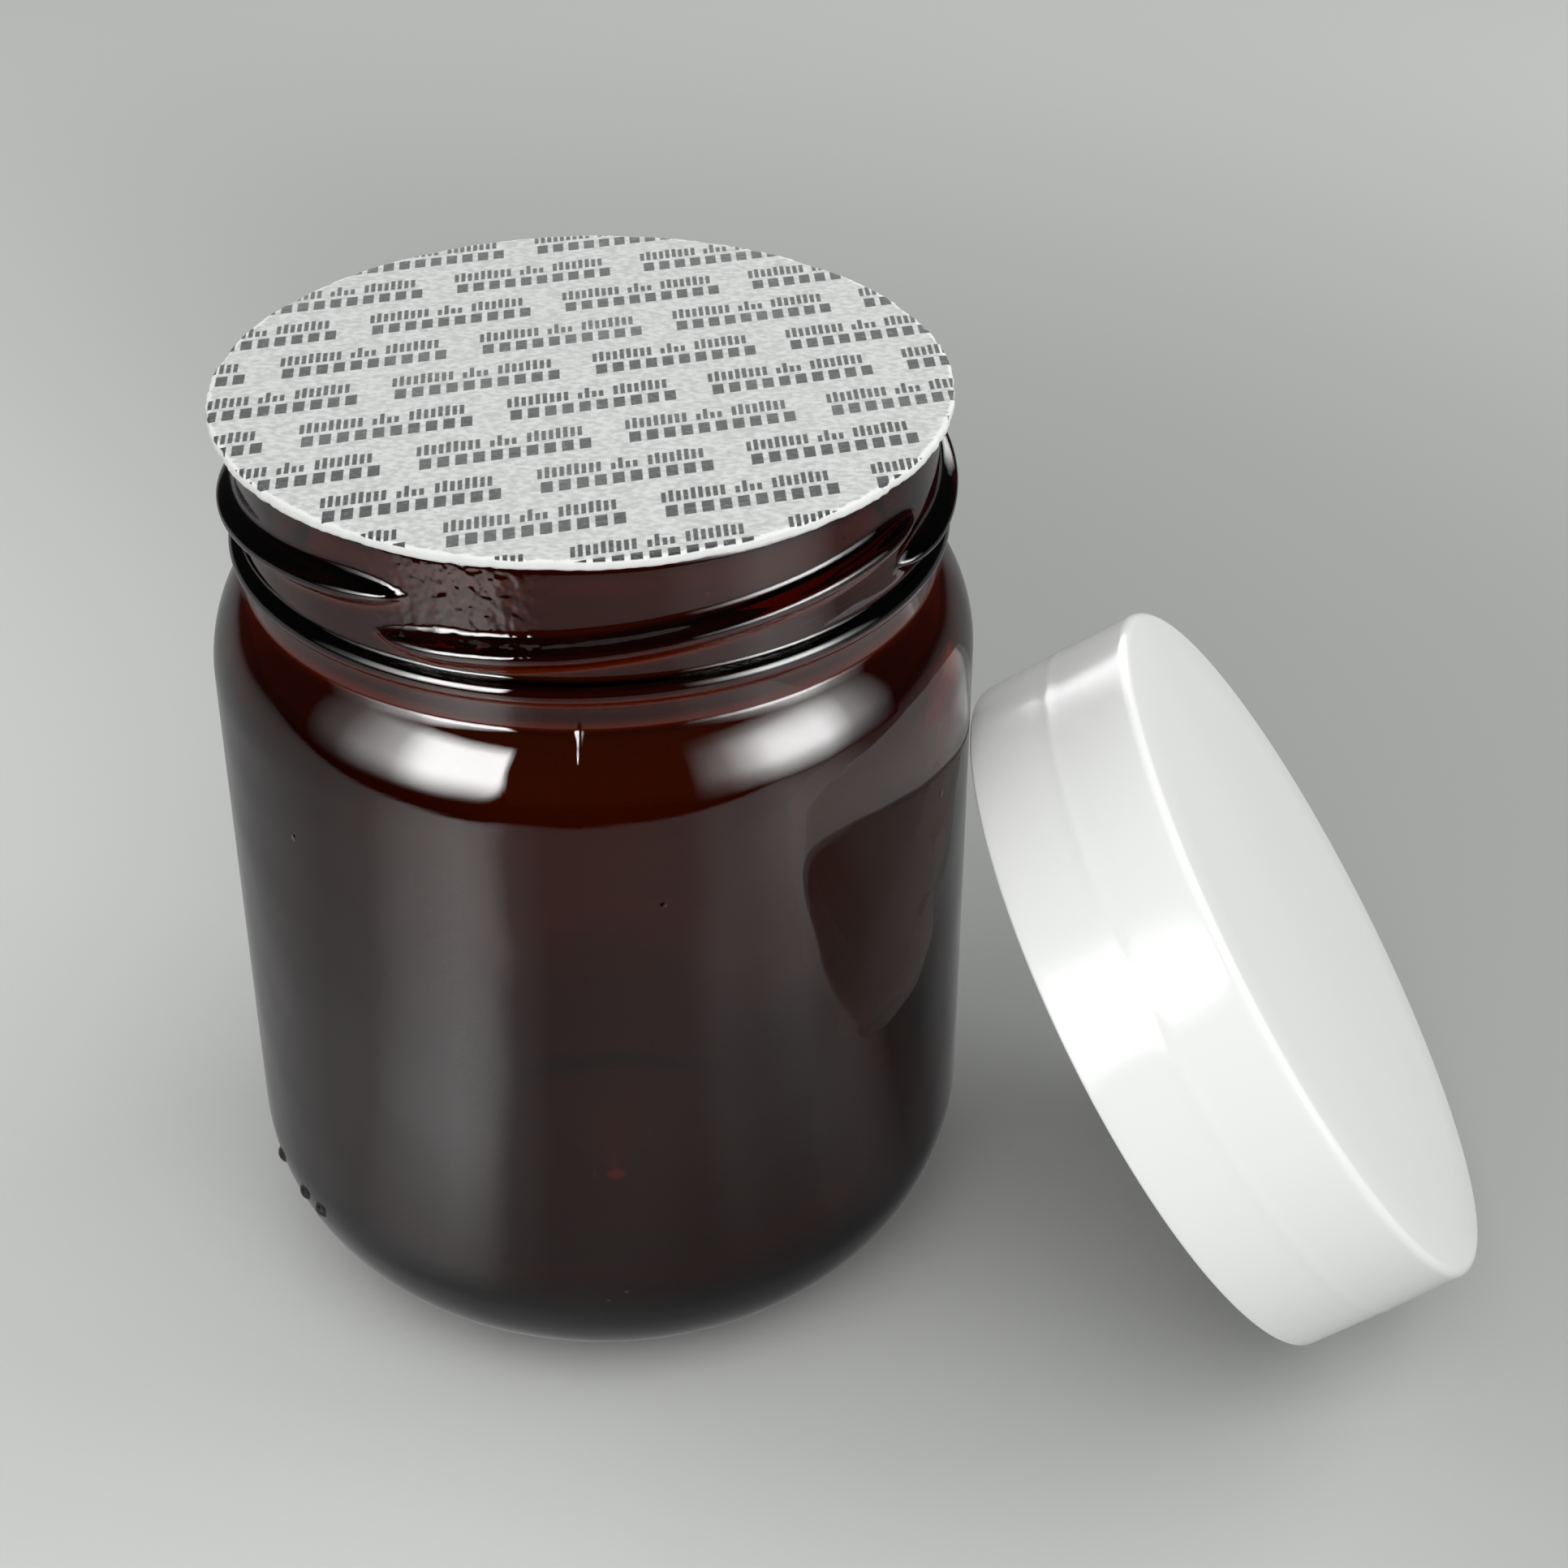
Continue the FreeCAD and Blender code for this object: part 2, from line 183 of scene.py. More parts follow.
def jar_inner():
    """Outline of the inside, from the top of the rim to the middle of the bottom."""
    bore = NECK_R - NECK_WALL
    shoulder_at, inner_shoulder = BODY_R - SHOULDER_R, SHOULDER_R - WALL
    throat_at = bore + THROAT_R
    lift = math.degrees(math.acos((throat_at - shoulder_at) / (inner_shoulder + THROAT_R)))
    throat_z = SHOULDER_Z + (inner_shoulder + THROAT_R) * math.sin(math.radians(lift))
    edge_z = PUSH_UP + FLOOR - FLOOR_SAG
    heel_at = BODY_R - WALL - INNER_HEEL_R
    floor_r = (heel_at**2 + FLOOR_SAG**2) / (2 * FLOOR_SAG)
    sweep = math.degrees(math.asin(heel_at / floor_r))
    return joined([
        arc(bore + LIP_IN, MOUTH_Z - LIP_IN, LIP_IN, 90, 180, 6), 6,
        arc(throat_at, throat_z, THROAT_R, 180, 180 + lift, 7),
        arc(shoulder_at, SHOULDER_Z, inner_shoulder, lift, 0, 10), 14,
        arc(heel_at, edge_z + INNER_HEEL_R, INNER_HEEL_R, 0, -90, 14),
        arc(0, PUSH_UP + FLOOR - floor_r, floor_r, 90 - sweep, 90, 10),
    ])


# ---- ridges, as a swelling of the wall that they stand on ----

def climb(turn):
    """Rise of a ridge: level at first, then at the lead, with an even bend between."""
    rate = THREAD_LEAD / 360
    return np.where(turn < 2 * THREAD_LEVEL, rate * turn**2 / (4 * THREAD_LEVEL), rate * (turn - THREAD_LEVEL))


def swell(angle, z, first, span, height_at, proud, half):
    """How far the wall stands out at each angle and height, for one ridge that swells and dies at its ends."""
    turn = np.mod(angle - first, 360.0)
    inside = turn < span
    turn = np.where(inside, turn, 0.0)
    end = np.clip(np.minimum(turn, span - turn) / RUN_OUT, 0, 1)
    size = np.sqrt(np.clip(1 - (1 - end)**2, 1e-6, 1))
    across = (z - height_at(turn)) / (half * size) - CREST_UP
    width = np.where(across > 0, WIDE_ABOVE, WIDE_BELOW)
    bell = np.exp(-math.log(2) * (np.abs(across) / width)**BLUNTNESS)
    return np.where(inside, proud * size * bell, 0.0)


def ridges(angle, z, first, span, height_at, proud, half):
    """The ridges of all the starts together."""
    return sum(swell(angle, z, first + 360 / STARTS * i, span, height_at, proud, half) for i in range(STARTS))


def thread_height(turn):
    """Height of the middle of the jar's ridge."""
    return MOUTH_Z - THREAD_FROM_RIM + climb(turn)


def lug_height(turn):
    """Height in the cap at which its ridge bears on the underside of the jar's, with the cap screwed down."""
    seat = MOUTH_Z + (SEAL_Z1 - SEAL_Z0) + CAP_TOP - CAP_H
    under = (THREAD_HALF + LUG_HALF) * BEARING + LUG_GAP
    return thread_height(THREAD_SPAN - LUG_SPAN + turn) - under - seat


# ---- meshes ----

def apart(angles, middle):
    """Signed difference of angles from a middle, from -180 to 180."""
    return np.mod(angles - middle + 180, 360) - 180


def columns(count, fine=()):
    """Angles round the axis, with closer ones near some: fine holds (middle, how far to each side, step)."""
    angles = np.arange(count) * 360.0 / count
    for middle, side, step in fine:
        angles = angles[np.abs(apart(angles, middle)) > side + step / 2]
        angles = np.append(angles, np.mod(middle + np.arange(-side, side + step / 2, step), 360))
    return np.sort(angles)


def around(r, z, angles):
    """Points for each outline point (rows) and angle (columns). Both r and z are one column or one per angle."""
    r, z, a = np.broadcast_arrays(r, z, np.radians(angles)[None, :])
    return np.stack([r * np.cos(a), r * np.sin(a), z], axis=-1) * MM


def skin(name, points):
    """A closed mesh over rows of points that go round and round. The first and last rows are one point each."""
    cols = points.shape[1]
    body = points[1:-1]
    last = (body.shape[0] - 1) * cols
    verts = body.reshape(-1, 3).tolist() + [points[0, 0].tolist(), points[-1, 0].tolist()]
    low_pole, high_pole = last + cols, last + cols + 1
    faces = []
    for a in range(0, last, cols):
        for j in range(cols):
            k = (j + 1) % cols
            faces.append((a + j, a + k, a + cols + k, a + cols + j))
    faces += [(low_pole, (j + 1) % cols, j) for j in range(cols)]
    faces += [(last + j, last + (j + 1) % cols, high_pole) for j in range(cols)]
    mesh = bpy.data.meshes.new(name)
    mesh.from_pydata(verts, [], faces)
    mesh.update()
    mesh.shade_smooth()
    piece = bpy.data.objects.new(name, mesh)
    bpy.context.scene.collection.objects.link(piece)
    return piece


def seam_swell(angles, r, z):
    """The thin ridge where the mould's halves met: highest under the crease, with a small web across it."""
    wall = (z > SEAM_FROM_Z) & (z < CREASE_Z) & (r > SIDE_R)
    proud = SEAM_LOW_PROUD + (SEAM_PROUD - SEAM_LOW_PROUD) * np.clip((z - SEAM_RISE_Z) / SEAM_RISE, 0, 1)
    web = WEB_PROUD * np.exp(-((z - CREASE_Z) / WEB_HIGH)**2)
    out = 0
    for at in SEAMS:
        away = np.radians(apart(angles, at))[None, :] * BODY_R
        out = out + np.where(wall, proud, 0) * np.exp(-(away / (SEAM_WIDTH / 2))**2)
        out = out + web * np.exp(-(away / WEB_WIDE)**2)
    return out


def dot_swell(angles, r, z):
    """The raised dots on the heel, each a low cap of a ball."""
    ball = (DOT_R**2 + DOT_PROUD**2) / (2 * DOT_PROUD)
    down = math.asin((HEEL_Z - DOT_Z) / HEEL_R)
    dot_r = BODY_R - HEEL_R + HEEL_R * math.cos(down)
    out = 0
    for at in DOTS:
        a = np.radians(angles - at)[None, :]
        away2 = r**2 + dot_r**2 - 2 * r * dot_r * np.cos(a) + (z - DOT_Z)**2
        out = out + np.clip(np.sqrt(np.clip(ball**2 - away2, 0, None)) - (ball - DOT_PROUD), 0, None)
    return np.where(z < HEEL_Z, out, 0)


def inner_waves(angles, r, z):
    """The inside is never quite round below the throat."""
    wave = sum(deep * np.sin(np.radians(angles * often + turn))[None, :] * np.sin(z / length + start)
               for deep, often, turn, length, start in INNER_WAVES)
    return np.where((z < MOUTH_Z - EVEN_THROAT) & (r > SIDE_R), wave, 0)


def make_jar():
    angles = columns(JAR_COLUMNS, [(at, *NEAR_SEAM) for at in SEAMS] + [(at, *NEAR_DOT) for at in DOTS])
    outer, inner = jar_outer(), jar_inner()
    r, z = outer[:, :1], outer[:, 1:]
    thread = ridges(angles[None, :], z, THREAD_START, THREAD_SPAN, thread_height, THREAD_PROUD, THREAD_HALF)
    thread = np.where((z > BEAD_Z + CLEAR_OF_BEAD) & (z < MOUTH_Z - CLEAR_OF_RIM), thread, 0)
    out = thread + seam_swell(angles, r, z)
    dots = dot_swell(angles, r, z)
    tilt = np.arctan2(z - HEEL_Z, r - (BODY_R - HEEL_R))
    r_in, z_in = inner[:, :1], inner[:, 1:]
    return skin("jar_glass", np.concatenate([
        around(r + out + dots * np.cos(tilt), z + dots * np.sin(tilt), angles),
        around(r_in + inner_waves(angles, r_in, z_in), z_in, angles)]))


def ragged(draw, a, orders, size):
    """Waves round an edge, each of random height and turn. The highest is 1."""
    waves = sum(size(n) * draw.normal() * np.sin(n * a + draw.uniform(0, FULL_TURN)) for n in orders)
    return waves / np.abs(waves).max()


def make_seal():
    """The cut disc: its edge is ragged and a little crushed, with a rounded upper corner."""
    angles = columns(SEAL_COLUMNS)
    a = np.radians(angles)
    draw = np.random.default_rng(CUT_SEED)
    edge = ragged(draw, a, CUT_WAVES, lambda n: 1 / (1 + n / CUT_FADE))
    edge = np.clip(edge, -1, CUT_OFF) * CUT_DEPTH - CUT_IN
    nick = np.abs(ragged(draw, a, NICK_WAVES, lambda n: 1))
    thick = SEAL_Z1 - SEAL_Z0
    r = np.array([share * (SEAL_R + edge) + inset - abs(rough) * nick for share, _, inset, rough in SEAL_OUTLINE])
    z = np.array([SEAL_Z0 + thick * up - max(rough, 0) * up * NICK_SINK * nick
                  for _, up, _, rough in SEAL_OUTLINE])
    points = around(r, z, angles)
    points[..., 0] += SEAL_AT * MM
    return skin("seal_foam", points)


def cap_r(z):
    """Radius of the cap's side, which leans in a little, and more above the line at its middle."""
    low = min(z, CAP_BREAK) * math.tan(math.radians(CAP_DRAFT))
    high = max(z - CAP_BREAK, 0) * math.tan(math.radians(CAP_TOP_DRAFT))
    return CAP_BORE_R + CAP_WALL - low - high


def cap_outline():
    """Outlines of the upright cap: outside from the rim to the middle of the top, and inside the other way."""
    top = CAP_H - CAP_TOP
    outer = joined([
        np.array([[CAP_BORE_R + CAP_LEAD_IN / 2, 0]]), 1,
        arc(cap_r(0) - CAP_RIM_EDGE, CAP_RIM_EDGE, CAP_RIM_EDGE, -90, 0, 6), 6,
        np.array([[cap_r(CAP_BREAK - BREAK_HALF), CAP_BREAK - BREAK_HALF],
                  [cap_r(CAP_BREAK) + BREAK_PROUD, CAP_BREAK],
                  [cap_r(CAP_BREAK + BREAK_HALF), CAP_BREAK + BREAK_HALF]]), 6,
        arc(cap_r(CAP_H) - CAP_EDGE, CAP_H - CAP_EDGE, CAP_EDGE, 0, 90, 10), 6,
        np.array([[0, CAP_H]]),
    ])
    inner = joined([
        np.array([[0, top]]), 6,
        arc(CAP_BORE_R - CAP_CORNER, top - CAP_CORNER, CAP_CORNER, 90, 0, 6), 60,
        np.array([[CAP_BORE_R, CAP_LEAD_IN]]), 1,
        np.array([[CAP_BORE_R + CAP_LEAD_IN / 2, 0]]),
    ])
    return outer, inner


def make_cap():
    """The cap is made upright and then laid in the place of its CAD node."""
    angles = columns(CAP_COLUMNS)
    outer, inner = cap_outline()
    z = inner[:, 1:]
    first = THREAD_START + THREAD_SPAN - LUG_SPAN
    lugs = ridges(angles[None, :], z, first, LUG_SPAN, lug_height, LUG_PROUD, LUG_HALF)
    lugs = np.where((z > LUG_CLEAR_OF_RIM) & (z < CAP_H - CAP_TOP - LUG_CLEAR_OF_TOP), lugs, 0)
    points = np.concatenate([around(outer[:, :1], outer[:, 1:], angles)[::-1],
                             around(inner[:, :1] - lugs, z, angles)[::-1][1:]])
    piece = skin("cap_plastic", points)
    lean = Matrix.Rotation(math.radians(CAP_YAW), 4, "Z") @ Matrix.Rotation(math.radians(90 - CAP_TILT), 4, "Y")
    piece.data.transform(lean)
    co = np.array([v.co for v in piece.data.vertices])
    low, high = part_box("lid")
    middle = (low + high) / 2
    piece.data.transform(Matrix.Translation(middle - Vector((co.min(0) + co.max(0)) / 2)))
    return piece


# ---- materials: lengths in them are in metres, except in the seal's print ----

WIPED_CLOUD = (0.42, 0.72)  # where in the noise a surface goes from clean to wiped

GLASS_TINT, GLASS_ABSORBS, GLASS_DENSITY = (1.0, 0.97, 0.94, 1), (0.75, 0.43, 0.04, 1), 1200.0
# a hammered patch on the front of the neck, left of the middle: each pair is where one of its sides fades in
PATCH_RIGHT, PATCH_LEFT = (-0.002, -0.008), (-0.020, -0.015)
PATCH_FRONT, PATCH_HIGH = (-0.024, -0.028), (0.0825, 0.0845)
HAMMER_SCALE, HAMMER_DEPTH, SEED_DEPTH = 850.0, 0.8, 0.7

FOAM_DARK, FOAM_PALE, FOAM_EDGE = (0.50, 0.505, 0.495, 1), (0.67, 0.675, 0.67, 1), (0.80, 0.80, 0.79, 1)
LOOSE_FIBRE, INK = (0.40, 0.40, 0.40, 1), (0.03, 0.031, 0.033, 1)
FOAM_ROUGHNESS, INK_ROUGHNESS = 0.78, 0.55
# two layers of fibres that cross: turn in radians and scale of each
FIBRE_LAYERS, FIBRE_STRETCH, SECOND_LAYER = ((0.9, 1300.0), (-0.5, 1150.0)), (1.0, 1.5, 1.0), 0.8
# how the ink wears, at two scales: scale and detail of the noise, where in it the ink is thin and full, and how thin
INK_WEAR = ((2600.0, 2.0, 0.28, 0.46, 0.88), (90.0, 1.0, 0.30, 0.60, 0.92))
# distances from the middle of the disc where the ink ends and where the pale cut edge begins
INK_ENDS, EDGE_BEGINS, EDGE_WANDER = (0.03305, 0.03280), (0.03290, 0.03315), 0.0006

# the print, in millimetres on the disc: plain blocks, and ticks above them, in slanted rows that spell nothing
PRINT_TURN = math.radians(12.4)
PRINT_FIRST = (-18.04, -26.65)
PRINT_PERIOD, PRINT_ROW, PRINT_SHIFT = 18.12, 6.92, 9.27
MARK_SLANT, MARK_SOFT_SIDE, MARK_SOFT_END, SHORT_ABOVE = 0.21, 0.05, 0.06, 0.55
INK_LOWEST, INK_FULL = 0.15, 0.05  # below the disc's top
BLOCKS = {"Start": 0.0, "Pitch": 1.53, "Count": 10.0, "Base": 0.0, "Height": 1.9, "Stroke": 1.02}
TICKS = {"Pitch": 0.63, "Base": 2.5, "Height": 1.95, "Stroke": 0.40}
# runs of ticks: where each starts, how many it has, and by what share some of them are shorter
TICK_RUNS = ((0.4, 9.0, 0.12), (6.7, 4.0, 0.4), (9.9, 8.0, 0.12))

CAP_WHITE, CAP_WARM_WHITE, DUST = (0.865, 0.872, 0.862, 1), (0.885, 0.889, 0.875, 1), (0.45, 0.44, 0.41, 1)

# painted shade on the floor: it is painted darker to the right and the back, where the light falls off, and less so
# far from the jar
FLOOR_PALE, FLOOR_SHADED, DEEPEST_SHADE = (0.68, 0.69, 0.675, 1), (0.36, 0.367, 0.357, 1), 0.9
SHADE_SPAN, SHADE_BACK, SHADE_NEAR_JAR, FAR_SHARE = (-0.05, 0.11), 0.5, (0.12, 0.42), 0.15
FLOOR_CLOUDS, CLOUD_SHARE = 3.0, 0.1


class Nodes:
    """Adds nodes to a tree and joins them. A value may be a number, a colour or another node's output."""

    def __init__(self, tree):
        self.tree = tree

    def put(self, socket, value):
        if isinstance(value, bpy.types.NodeSocket):
            self.tree.links.new(value, socket)
        elif value is not None:
            socket.default_value = value

    def feed(self, node, **inputs):
        """Sets or joins a node's inputs by their names, with _ for a space."""
        for key, value in inputs.items():
            self.put(node.inputs[key.replace("_", " ")], value)
        return node

    def add(self, kind, settings=(), **inputs):
        node = self.tree.nodes.new("ShaderNode" + kind)
        for key, value in dict(settings).items():
            setattr(node, key, value)
        return self.feed(node, **inputs)

    def math(self, operation, a, b=None, c=None):
        node = self.add("Math", {"operation": operation})
        for socket, value in zip(node.inputs, (a, b, c)):
            self.put(socket, value)
        return node.outputs[0]

    def spread(self, value, low, high, to_low=0.0, to_high=1.0):
        """A smooth step from one value to another."""
        node = self.add("MapRange", {"interpolation_type": "SMOOTHSTEP"}, Value=value, From_Min=low,
                        From_Max=high, To_Min=to_low, To_Max=to_high)
        return node.outputs["Result"]

    def blend(self, share, a, b):
        """From colour a to colour b; a Mix node's colour sockets have no names of their own."""
        node = self.add("Mix", {"data_type": "RGBA"}, Factor=share)
        self.put(node.inputs[6], a)
        self.put(node.inputs[7], b)
        return node.outputs[2]

    def noise(self, vector, scale, detail):
        return self.add("TexNoise", Vector=vector, Scale=scale, Detail=detail).outputs["Fac"]

    def place(self):
        return self.add("TexCoord").outputs["Object"]

    def turned(self, vector, turn, scale):
        """The vector turned about Z, in radians, and scaled."""
        return self.add("Mapping", Vector=vector, Rotation=(0, 0, turn), Scale=scale).outputs["Vector"]

    def parts(self, vector):
        """The vector's X, Y and Z."""
        return self.add("SeparateXYZ", Vector=vector).outputs

    def use(self, group, **inputs):
        """A node group's output, with these inputs."""
        node = self.tree.nodes.new("ShaderNodeGroup")
        node.node_tree = group
        return self.feed(node, **inputs).outputs[0]


def material(name):
    """A new material, its shader, its output node and the helper that adds nodes to it."""
    made = bpy.data.materials.new(name)
    made.use_nodes = True
    made.node_tree.nodes.clear()
    n = Nodes(made.node_tree)
    shader = n.add("BsdfPrincipled")
    out = n.add("OutputMaterial", Surface=shader.outputs["BSDF"])
    return made, shader, out, n


def group(name, inputs, output, fill_in):
    """A node group with one output, made by fill_in(nodes, inputs). An input with no number is a vector."""
    tree = bpy.data.node_groups.new(name, "ShaderNodeTree")
    for key, value in inputs.items():
        kind = "NodeSocketVector" if value is None else "NodeSocketFloat"
        socket = tree.interface.new_socket(key, in_out="INPUT", socket_type=kind)
        if value is not None:
            socket.default_value = value
    tree.interface.new_socket(output, in_out="OUTPUT", socket_type="NodeSocketFloat")
    made = fill_in(Nodes(tree), tree.nodes.new("NodeGroupInput").outputs)
    tree.links.new(made, tree.nodes.new("NodeGroupOutput").inputs[0])
    return tree


def moulded_skin():
    """Height of a moulded surface: long soft waves with a finer orange peel on them."""
    def fill_in(n, given):
        waves = n.noise(given["Place"], given["Wave Scale"], 1.0)
        peel = n.noise(given["Place"], given["Peel Scale"], 2.0)
        return n.math("MULTIPLY_ADD", peel, given["Peel Share"], waves)
    return group("moulded_skin", {"Place": None, "Wave Scale": 60.0, "Peel Scale": 600.0, "Peel Share": 0.1},
                 "Height", fill_in)


def handling():
    """Roughness of a smooth surface that has been handled: clean, with fainter wiped patches."""
    def fill_in(n, given):
        cloud = n.noise(given["Place"], given["Scale"], 5.0)
        return n.spread(cloud, *WIPED_CLOUD, given["Clean"], given["Wiped"])
    return group("handling", {"Place": None, "Scale": 45.0, "Clean": 0.02, "Wiped": 0.06}, "Roughness", fill_in)


def specks():
    """Mask of small round specks, far apart: bubbles in glass, dust on plastic or loose fibre on foam."""
    def fill_in(n, given):
        cells = n.add("TexVoronoi", Vector=given["Place"], Scale=given["Scale"])
        rare = n.math("GREATER_THAN", cells.outputs["Color"], given["Rarity"])
        dot = n.spread(cells.outputs["Distance"], given["Size"], 0.0)
        return n.math("MULTIPLY", dot, rare)
    return group("specks", {"Place": None, "Scale": 300.0, "Rarity": 0.8, "Size": 0.2}, "Mask", fill_in)


def print_marks():
    """One run of slanted marks: a mask over the seal's plane, in millimetres."""
    def fill_in(n, given):
        up = n.math("SUBTRACT", given["Up"], given["Base"])
        along = n.math("SUBTRACT", given["Along"], n.math("MULTIPLY_ADD", up, MARK_SLANT, given["Start"]))
        within = n.math("MULTIPLY", n.math("GREATER_THAN", along, 0.0),
                        n.math("LESS_THAN", along, n.math("MULTIPLY", given["Pitch"], given["Count"])))
        number = n.math("FLOOR", n.math("DIVIDE", along, given["Pitch"]))
        step = n.math("SUBTRACT", along, n.math("MULTIPLY", number, given["Pitch"]))
        off = n.math("ABSOLUTE", n.math("SUBTRACT", step, n.math("MULTIPLY", given["Pitch"], 0.5)))
        half = n.math("MULTIPLY", given["Stroke"], 0.5)
        stroke = n.spread(n.math("SUBTRACT", off, half), MARK_SOFT_SIDE, -MARK_SOFT_SIDE)
        chance = n.add("TexWhiteNoise", {"noise_dimensions": "1D"}, W=number).outputs["Value"]
        short = n.math("MULTIPLY", n.math("GREATER_THAN", chance, SHORT_ABOVE), given["Short"])
        high = n.math("MULTIPLY", given["Height"], n.math("SUBTRACT", 1.0, short))
        top = n.spread(n.math("SUBTRACT", up, high), MARK_SOFT_END, -MARK_SOFT_END)
        foot = n.spread(up, -MARK_SOFT_END, MARK_SOFT_END)
        return n.math("MULTIPLY", n.math("MULTIPLY", stroke, n.math("MULTIPLY", top, foot)), within)
    return group("print_marks", {"Along": 0.0, "Up": 0.0, "Start": 0.0, "Pitch": 1.0, "Count": 1.0, "Base": 0.0,
                                 "Height": 1.0, "Stroke": 0.5, "Short": 0.0}, "Mask", fill_in)


def amber_glass(shared):
    """Clear glass coloured by what its volume absorbs, with soft waves, seeds and one hammered patch."""
    made, shader, out, n = material("amber_glass")
    place = n.place()
    volume = n.add("VolumeAbsorption", Color=GLASS_ABSORBS, Density=GLASS_DENSITY)
    n.feed(out, Volume=volume.outputs["Volume"])
    skin_height = n.use(shared["moulded_skin"], Place=place, Wave_Scale=85.0, Peel_Scale=420.0, Peel_Share=0.02)
    soft = n.add("Bump", Strength=0.16, Distance=0.0016, Height=skin_height)
    spot = n.parts(place)
    sides = n.math("MULTIPLY", n.spread(spot["X"], *PATCH_RIGHT), n.spread(spot["Y"], *PATCH_FRONT))
    patch = n.math("MULTIPLY", n.math("MULTIPLY", n.spread(spot["Z"], *PATCH_HIGH), sides),
                   n.spread(spot["X"], *PATCH_LEFT))
    hammered = n.math("MULTIPLY", n.math("MULTIPLY", n.noise(place, HAMMER_SCALE, 1.0), patch), HAMMER_DEPTH)
    seeds = n.use(shared["specks"], Place=place, Scale=230.0, Rarity=0.72, Size=0.10)
    rough = n.math("MULTIPLY_ADD", seeds, SEED_DEPTH, hammered)
    fine = n.add("Bump", Strength=0.5, Distance=0.0004, Height=rough, Normal=soft.outputs["Normal"])
    n.feed(shader, Base_Color=GLASS_TINT, IOR=1.52, Transmission_Weight=1.0, Normal=fine.outputs["Normal"],
           Roughness=n.use(shared["handling"], Place=place, Scale=55.0, Clean=0.012, Wiped=0.045))
    return made


def seal_print(shared, n, place, from_middle):
    """Mask of the ink on the seal's top."""
    spot = n.parts(n.turned(place, -PRINT_TURN, (1 / MM, 1 / MM, 1 / MM)))
    from_first = n.math("SUBTRACT", spot["Y"], PRINT_FIRST[1])
    row = n.math("FLOOR", n.math("DIVIDE", from_first, PRINT_ROW))
    up = n.math("SUBTRACT", from_first, n.math("MULTIPLY", row, PRINT_ROW))
    shifted = n.math("SUBTRACT", n.math("SUBTRACT", spot["X"], PRINT_FIRST[0]),
                     n.math("MULTIPLY", row, PRINT_SHIFT))
    along = n.math("WRAP", shifted, PRINT_PERIOD, 0.0)
    ink = n.use(shared["print_marks"], Along=along, Up=up, **BLOCKS)
    for start, count, shorter in TICK_RUNS:
        ticks = n.use(shared["print_marks"], Along=along, Up=up, Start=start, Count=count, Short=shorter, **TICKS)
        ink = n.math("MAXIMUM", ink, ticks)
    ink = n.math("MULTIPLY", ink, n.spread(from_middle, *INK_ENDS))
    return n.math("MULTIPLY", ink, n.spread(spot["Z"], SEAL_Z1 - INK_LOWEST, SEAL_Z1 - INK_FULL))


def seal_foam(shared):
    """White fibrous foam with a worn print and a paler cut edge."""
    made, shader, _, n = material("seal_foam")
    place = n.place()
    middle = n.add("VectorMath", {"operation": "DISTANCE"}, Vector=place)
    middle.inputs[1].default_value = (SEAL_AT * MM, 0, SEAL_Z1 * MM)
    from_middle = middle.outputs["Value"]
    ink = seal_print(shared, n, place, from_middle)
    worn = ink
    for scale, detail, thin, full, least in INK_WEAR:
        worn = n.math("MULTIPLY", worn, n.spread(n.noise(place, scale, detail), thin, full, least, 1.0))
    layers = [n.noise(n.turned(place, turn, FIBRE_STRETCH), scale, 4.0) for turn, scale in FIBRE_LAYERS]
    fibres = n.math("MULTIPLY_ADD", layers[1], SECOND_LAYER, layers[0])
    foam = n.blend(n.spread(fibres, 0.70, 1.10), FOAM_DARK, FOAM_PALE)
    loose = n.use(shared["specks"], Place=place, Scale=420.0, Rarity=0.80, Size=0.16)
    foam = n.blend(loose, foam, LOOSE_FIBRE)
    edge = n.spread(n.math("MULTIPLY_ADD", fibres, EDGE_WANDER, from_middle), *EDGE_BEGINS)
    foam = n.blend(edge, foam, FOAM_EDGE)
    bump = n.add("Bump", Strength=0.55, Distance=0.00012, Height=fibres)
    n.feed(shader, Base_Color=n.blend(worn, foam, INK), Specular_IOR_Level=0.08, Sheen_Weight=0.05,
           Roughness=n.spread(ink, 0, 1, FOAM_ROUGHNESS, INK_ROUGHNESS), Normal=bump.outputs["Normal"])
    return made


def cap_plastic(shared):
    """Glossy white plastic, a little uneven in colour and gloss, with some dust."""
    made, shader, _, n = material("cap_plastic")
    place = n.place()
    white = n.blend(n.noise(place, 30.0, 3.0), CAP_WHITE, CAP_WARM_WHITE)
    dust = n.use(shared["specks"], Place=place, Scale=170.0, Rarity=0.86, Size=0.035)
    height = n.use(shared["moulded_skin"], Place=place, Wave_Scale=40.0, Peel_Scale=900.0, Peel_Share=0.03)
    bump = n.add("Bump", Strength=0.10, Distance=0.001, Height=height)
    n.feed(shader, Base_Color=n.blend(dust, white, DUST), IOR=1.49, Specular_IOR_Level=0.12,
           Roughness=n.use(shared["handling"], Place=place, Scale=35.0, Clean=0.10, Wiped=0.17),
           Normal=bump.outputs["Normal"])
    return made


